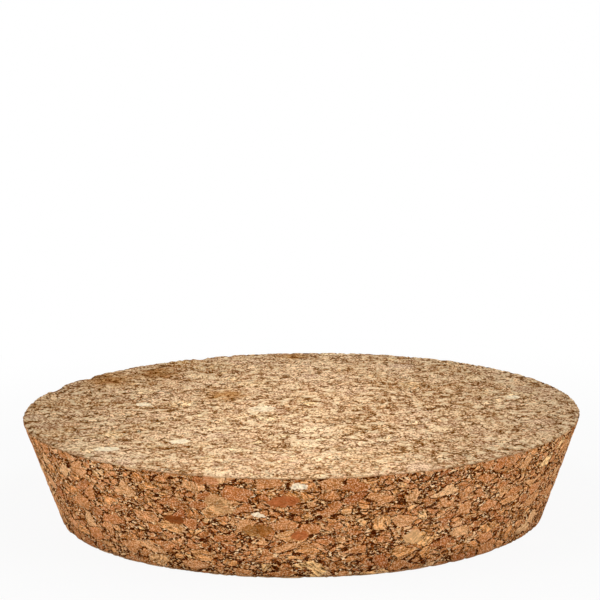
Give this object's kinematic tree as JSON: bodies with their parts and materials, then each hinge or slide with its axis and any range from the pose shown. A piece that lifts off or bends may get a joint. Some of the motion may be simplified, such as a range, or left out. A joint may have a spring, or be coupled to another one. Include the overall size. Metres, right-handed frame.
{
  "type": "cork stopper",
  "caption": "Wide, low tapered stopper of pressed cork granules that wedges into the round mouth of a jar and closes it.",
  "frame": {"origin": "centre of the narrow bottom face, which the stopper rests on", "axes": "+Z along the axis of the taper, from the narrow bottom face to the wide top face"},
  "size_m": [0.1076, 0.1076, 0.02],
  "materials": {
    "pressed_cork": "dry matt pressed cork granules, tan to red-brown, with dark gaps between the granules"
  },
  "bodies": {
    "root": {"stopper": "pressed_cork"}
  },
  "joints": []
}
